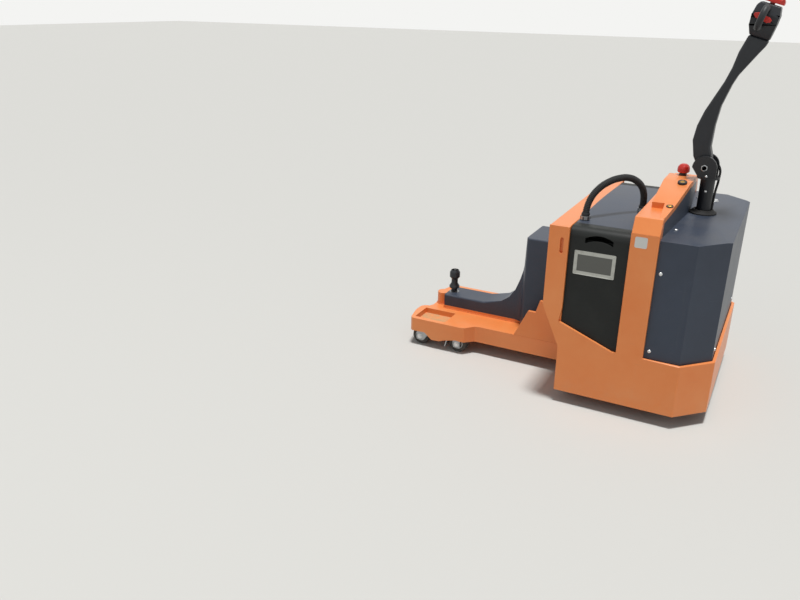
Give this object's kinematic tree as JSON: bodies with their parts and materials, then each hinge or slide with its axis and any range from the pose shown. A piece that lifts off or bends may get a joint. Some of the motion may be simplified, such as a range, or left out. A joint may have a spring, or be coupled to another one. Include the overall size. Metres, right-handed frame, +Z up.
{
  "type": "aircraft pushback tractor",
  "caption": "Walk-behind battery-electric tow tractor: plate skirt, covered battery bay, low hitch tongue with tow pin, and a steering tiller.",
  "frame": {"origin": "on the floor, under the middle of the overall length and width", "axes": "+X from the hitch towards the tiller end, +Y to the far side, +Z up"},
  "size_m": [1.188, 0.8, 1.3642],
  "materials": {
    "orange_paint": "semi-gloss powder coat",
    "slate_cover": "satin textured cover",
    "black_plastic": "satin",
    "black_paint": "satin",
    "black_rubber": "matt",
    "tyre": "worn solid tread",
    "zinc_steel": "zinc plated",
    "red_plastic": "gloss"
  },
  "bodies": {
    "chassis": {"skirt_shell": "orange_paint", "bulkhead": "orange_paint", "floor_pan": "orange_paint", "inner_frame": "orange_paint", "dash_beam": "orange_paint", "console": "orange_paint", "battery": "black_plastic", "battery_side_covers": "black_plastic", "battery_lid": "slate_cover", "rear_cover": "slate_cover", "column_boot": "black_rubber", "tongue": "orange_paint", "gussets": "orange_paint", "tow_box": "orange_paint", "nose_post": "orange_paint", "fairing": "slate_cover", "load_wheel_brackets": "zinc_steel", "drive_mount": "orange_paint", "slew_ring": "zinc_steel", "castor_plates": "zinc_steel", "estop_base": "black_plastic", "key_switch": "zinc_steel", "cable_glands": "zinc_steel", "power_cable": "black_rubber"},
    "tow_pin": {"tow_pin": "black_paint"},
    "steer": {"drive_housing": "black_paint", "drive_motor": "black_paint", "steering_column": "black_paint", "tiller_clevis": "black_paint"},
    "drive_wheel": {"drive_wheel": "tyre"},
    "tiller": {"tiller_arm": "black_plastic", "tiller_head": "black_plastic", "tiller_grips": "black_plastic"},
    "throttle": {"throttle": "red_plastic"},
    "belly_button": {"belly_button": "red_plastic"},
    "estop_button": {"estop_button": "red_plastic"},
    "load_wheel_near": {"load_wheel_near": "tyre"},
    "load_wheel_far": {"load_wheel_far": "tyre"},
    "load_wheel_rear_near": {"load_wheel_rear_near": "tyre"},
    "load_wheel_rear_far": {"load_wheel_rear_far": "tyre"},
    "castor_fork_near": {"castor_fork_near": "zinc_steel"},
    "castor_fork_far": {"castor_fork_far": "zinc_steel"},
    "castor_wheel_near": {"castor_wheel_near": "tyre"},
    "castor_wheel_far": {"castor_wheel_far": "tyre"}
  },
  "joints": [
    {"name": "steer", "type": "hinge", "parent": "chassis", "child": "steer", "pos_m": [0.45, 0, 0.26], "axis": [0, 0, 1], "range_deg": [-90, 90]},
    {"name": "drive_roll", "type": "hinge", "parent": "steer", "child": "drive_wheel", "pos_m": [0.45, 0, 0.115], "axis": [0, 1, 0], "continuous": true},
    {"name": "tiller_tilt", "type": "hinge", "parent": "steer", "child": "tiller", "pos_m": [0.436, 0, 0.813], "axis": [0, 1, 0], "range_deg": [0, 75], "stiffness_Nm_per_rad": 25, "springref_deg": -34.38},
    {"name": "throttle_turn", "type": "hinge", "parent": "tiller", "child": "throttle", "pos_m": [0.53483, 0, 1.29465], "axis": [0, 1, 0], "range_deg": [-25, 25], "stiffness_Nm_per_rad": 0.8},
    {"name": "belly_push", "type": "slide", "parent": "tiller", "child": "belly_button", "axis": [0.2756, 0, 0.9613], "range_m": [-0.005, 0], "stiffness_N_per_m": 1000, "springref_m": 0.01},
    {"name": "estop_push", "type": "slide", "parent": "chassis", "child": "estop_button", "axis": [0, 0, 1], "range_m": [-0.005, 0], "stiffness_N_per_m": 1000, "springref_m": 0.01},
    {"name": "tow_pin_lift", "type": "slide", "parent": "chassis", "child": "tow_pin", "axis": [0, 0, 1], "range_m": [0, 0.085]},
    {"name": "load_roll_near", "type": "hinge", "parent": "chassis", "child": "load_wheel_near", "pos_m": [-0.537, -0.175, 0.036], "axis": [0, 1, 0], "continuous": true},
    {"name": "load_roll_far", "type": "hinge", "parent": "chassis", "child": "load_wheel_far", "pos_m": [-0.537, 0.175, 0.036], "axis": [0, 1, 0], "continuous": true},
    {"name": "load_roll_rear_near", "type": "hinge", "parent": "chassis", "child": "load_wheel_rear_near", "pos_m": [-0.372, -0.175, 0.036], "axis": [0, 1, 0], "continuous": true},
    {"name": "load_roll_rear_far", "type": "hinge", "parent": "chassis", "child": "load_wheel_rear_far", "pos_m": [-0.372, 0.175, 0.036], "axis": [0, 1, 0], "continuous": true},
    {"name": "castor_swivel_near", "type": "hinge", "parent": "chassis", "child": "castor_fork_near", "pos_m": [0.42, -0.296, 0.138], "axis": [0, 0, 1], "continuous": true},
    {"name": "castor_roll_near", "type": "hinge", "parent": "castor_fork_near", "child": "castor_wheel_near", "pos_m": [0.454, -0.296, 0.05], "axis": [0, 1, 0], "continuous": true},
    {"name": "castor_swivel_far", "type": "hinge", "parent": "chassis", "child": "castor_fork_far", "pos_m": [0.42, 0.296, 0.138], "axis": [0, 0, 1], "continuous": true},
    {"name": "castor_roll_far", "type": "hinge", "parent": "castor_fork_far", "child": "castor_wheel_far", "pos_m": [0.454, 0.296, 0.05], "axis": [0, 1, 0], "continuous": true}
  ]
}
